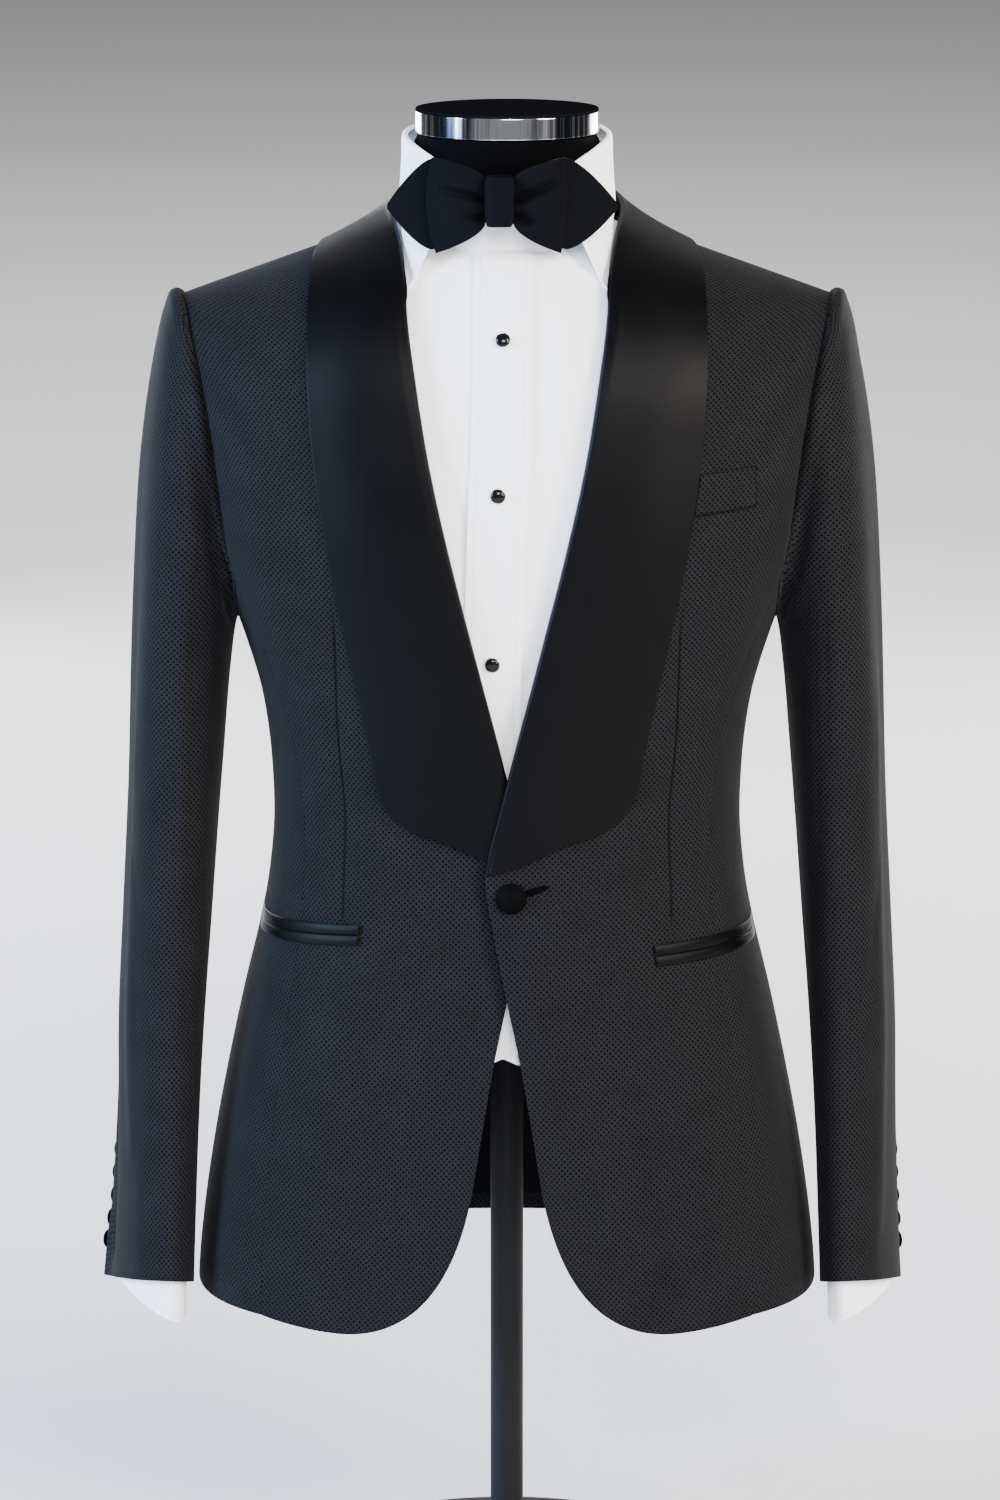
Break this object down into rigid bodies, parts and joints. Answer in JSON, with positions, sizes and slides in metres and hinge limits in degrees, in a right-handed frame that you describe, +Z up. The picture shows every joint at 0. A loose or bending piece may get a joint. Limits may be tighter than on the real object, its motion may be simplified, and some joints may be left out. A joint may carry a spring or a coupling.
{
  "type": "tuxedo on dress form",
  "caption": "Dinner jacket with a satin shawl lapel, white dress shirt and bow tie, worn by a limbless dress form on a post and round base.",
  "frame": {"origin": "centre of the stand's base plate, on its underside", "axes": "+Z up; the wearer faces -Y; +X is the wearer's left"},
  "size_m": [0.5366, 0.3, 1],
  "materials": {
    "jacket_cloth": "charcoal dobby-weave wool, matt",
    "satin": "black satin, soft sheen",
    "lining": "black viscose lining",
    "poplin": "white cotton poplin",
    "bow_silk": "near-black barathea silk, matt",
    "stud": "polished black, domed, with a metal rim",
    "form": "black flocked cover over a rigid shell",
    "chrome": "polished",
    "black_steel": "matt black powder coat"
  },
  "bodies": {
    "root": {"bow_knot": "bow_silk", "bow_point_left": "bow_silk", "bow_point_right": "bow_silk", "bow_wing_left": "bow_silk", "bow_wing_right": "bow_silk", "breast_welt": "jacket_cloth", "collar_band": "poplin", "collar_leaf": "poplin", "form_socket": "black_steel", "form_torso": "form", "front_button": "satin", "jacket_back_left": "jacket_cloth", "jacket_back_right": "jacket_cloth", "jacket_front_left": "jacket_cloth", "jacket_front_right": "jacket_cloth", "jacket_lining": "lining", "jacket_side_left": "jacket_cloth", "jacket_side_right": "jacket_cloth", "neck_band": "chrome", "neck_disc": "form", "pocket_jet_lower_left": "satin", "pocket_jet_lower_right": "satin", "pocket_jet_upper_left": "satin", "pocket_jet_upper_right": "satin", "shawl_left": "satin", "shawl_right": "satin", "shirt_back": "poplin", "shirt_cuff_left": "poplin", "shirt_cuff_right": "poplin", "shirt_front_left": "poplin", "shirt_front_right": "poplin", "shirt_placket": "poplin", "shirt_sleeve_left": "poplin", "shirt_sleeve_right": "poplin", "sleeve_button_left_1": "satin", "sleeve_button_left_2": "satin", "sleeve_button_left_3": "satin", "sleeve_button_left_4": "satin", "sleeve_button_left_5": "satin", "sleeve_button_right_1": "satin", "sleeve_button_right_2": "satin", "sleeve_button_right_3": "satin", "sleeve_button_right_4": "satin", "sleeve_button_right_5": "satin", "stand_base": "black_steel", "stand_post": "black_steel", "stud_1": "stud", "stud_2": "stud", "stud_3": "stud", "top_sleeve_left": "jacket_cloth", "top_sleeve_right": "jacket_cloth", "under_sleeve_left": "jacket_cloth", "under_sleeve_right": "jacket_cloth"}
  },
  "joints": []
}
